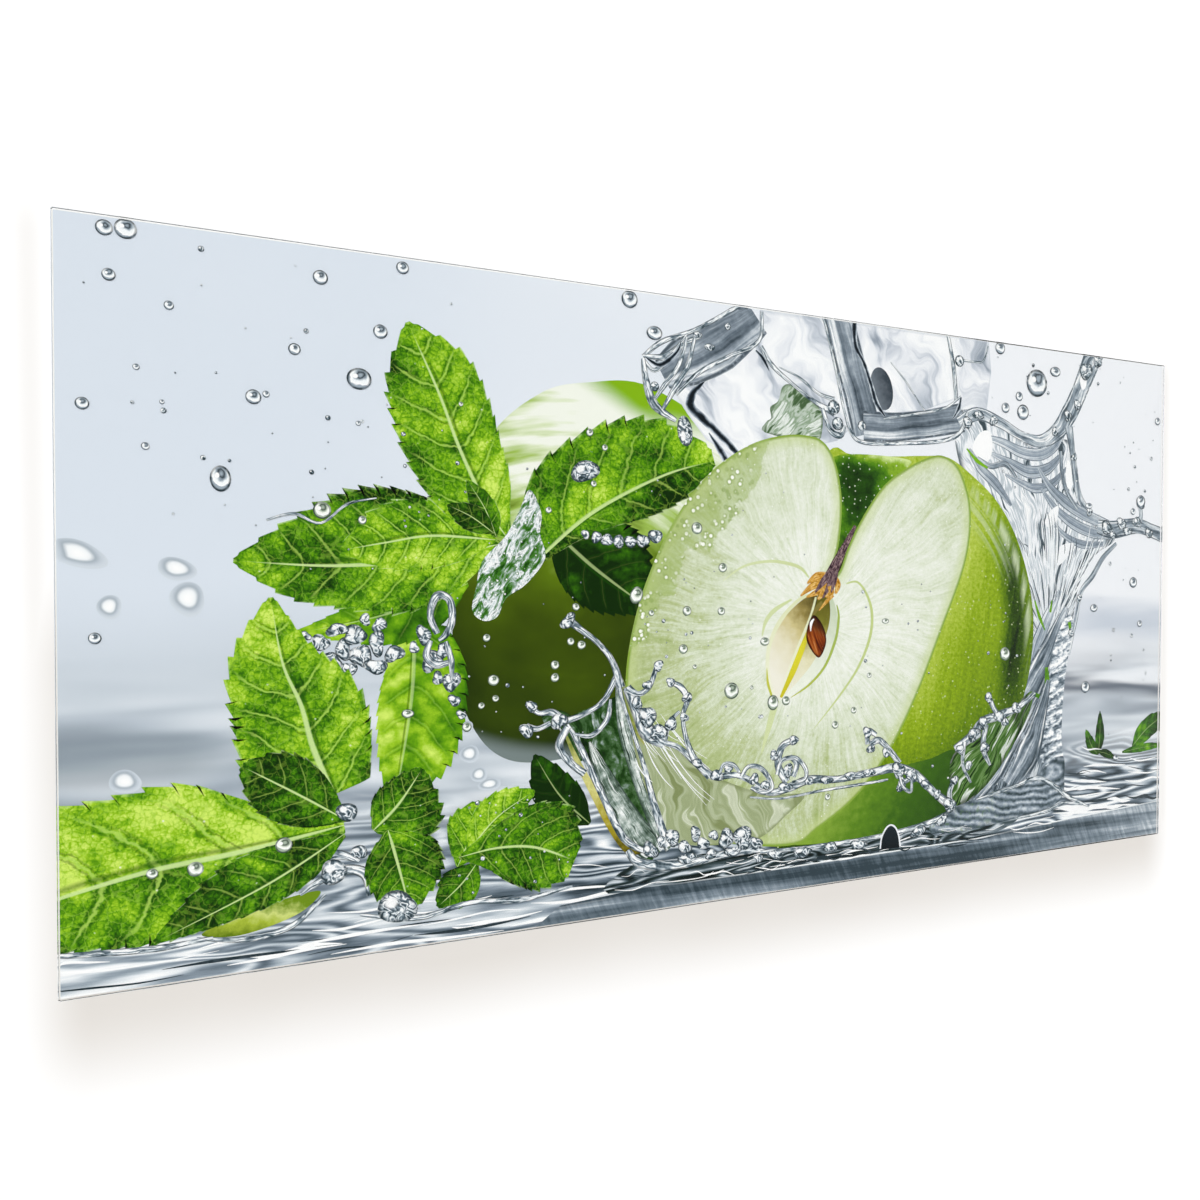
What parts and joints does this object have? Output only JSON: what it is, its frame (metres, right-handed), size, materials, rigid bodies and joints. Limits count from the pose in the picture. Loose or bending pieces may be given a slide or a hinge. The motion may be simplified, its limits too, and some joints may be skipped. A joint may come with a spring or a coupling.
{
  "type": "printed glass wall panel",
  "caption": "Thin frameless rectangular glass panel for a wall, with a printed picture of a halved green apple, mint and splashing water behind the glass.",
  "frame": {"origin": "centre of the flat back face", "axes": "+X towards the picture's right edge, +Y towards the picture's top edge, +Z out of the glass front"},
  "size_m": [1, 0.5, 0.0045],
  "materials": {
    "glass": "clear low-iron glass, polished faces, ground edges",
    "print": "printed film with a white cover layer"
  },
  "bodies": {
    "root": {"glass_pane": "glass", "print_layer": "print"}
  },
  "joints": []
}
